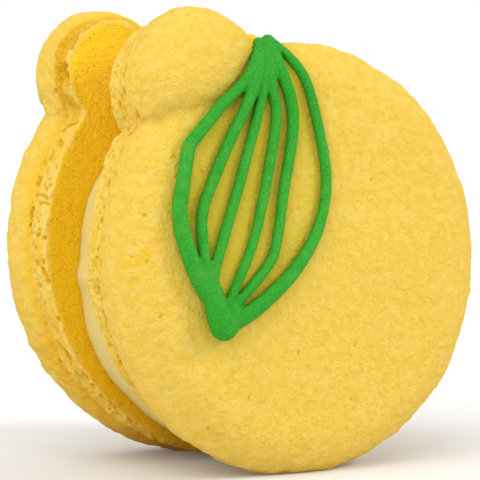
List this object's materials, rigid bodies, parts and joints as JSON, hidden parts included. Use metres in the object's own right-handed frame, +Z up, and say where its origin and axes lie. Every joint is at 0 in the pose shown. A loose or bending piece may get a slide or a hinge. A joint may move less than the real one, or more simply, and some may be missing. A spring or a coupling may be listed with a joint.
{
  "type": "french macaron",
  "caption": "Lemon-shaped French macaron standing on its edge: two almond shells with ruffled feet, cream filling and a piped icing leaf.",
  "frame": {"origin": "on the standing surface, under the middle of the macaron's box", "axes": "+Z up through the height, +Y through the thickness towards the back shell, so the front shell with the leaf faces -Y and its nub is towards -X"},
  "size_m": [0.0514, 0.0358, 0.0537],
  "materials": {
    "almond_shell": "matte, baked almond meringue",
    "cream_filling": "soft satin cream",
    "green_icing": "satin sugar icing"
  },
  "bodies": {
    "root": {"shell_front": "almond_shell", "shell_back": "almond_shell", "filling": "cream_filling", "leaf_icing": "green_icing"}
  },
  "joints": []
}
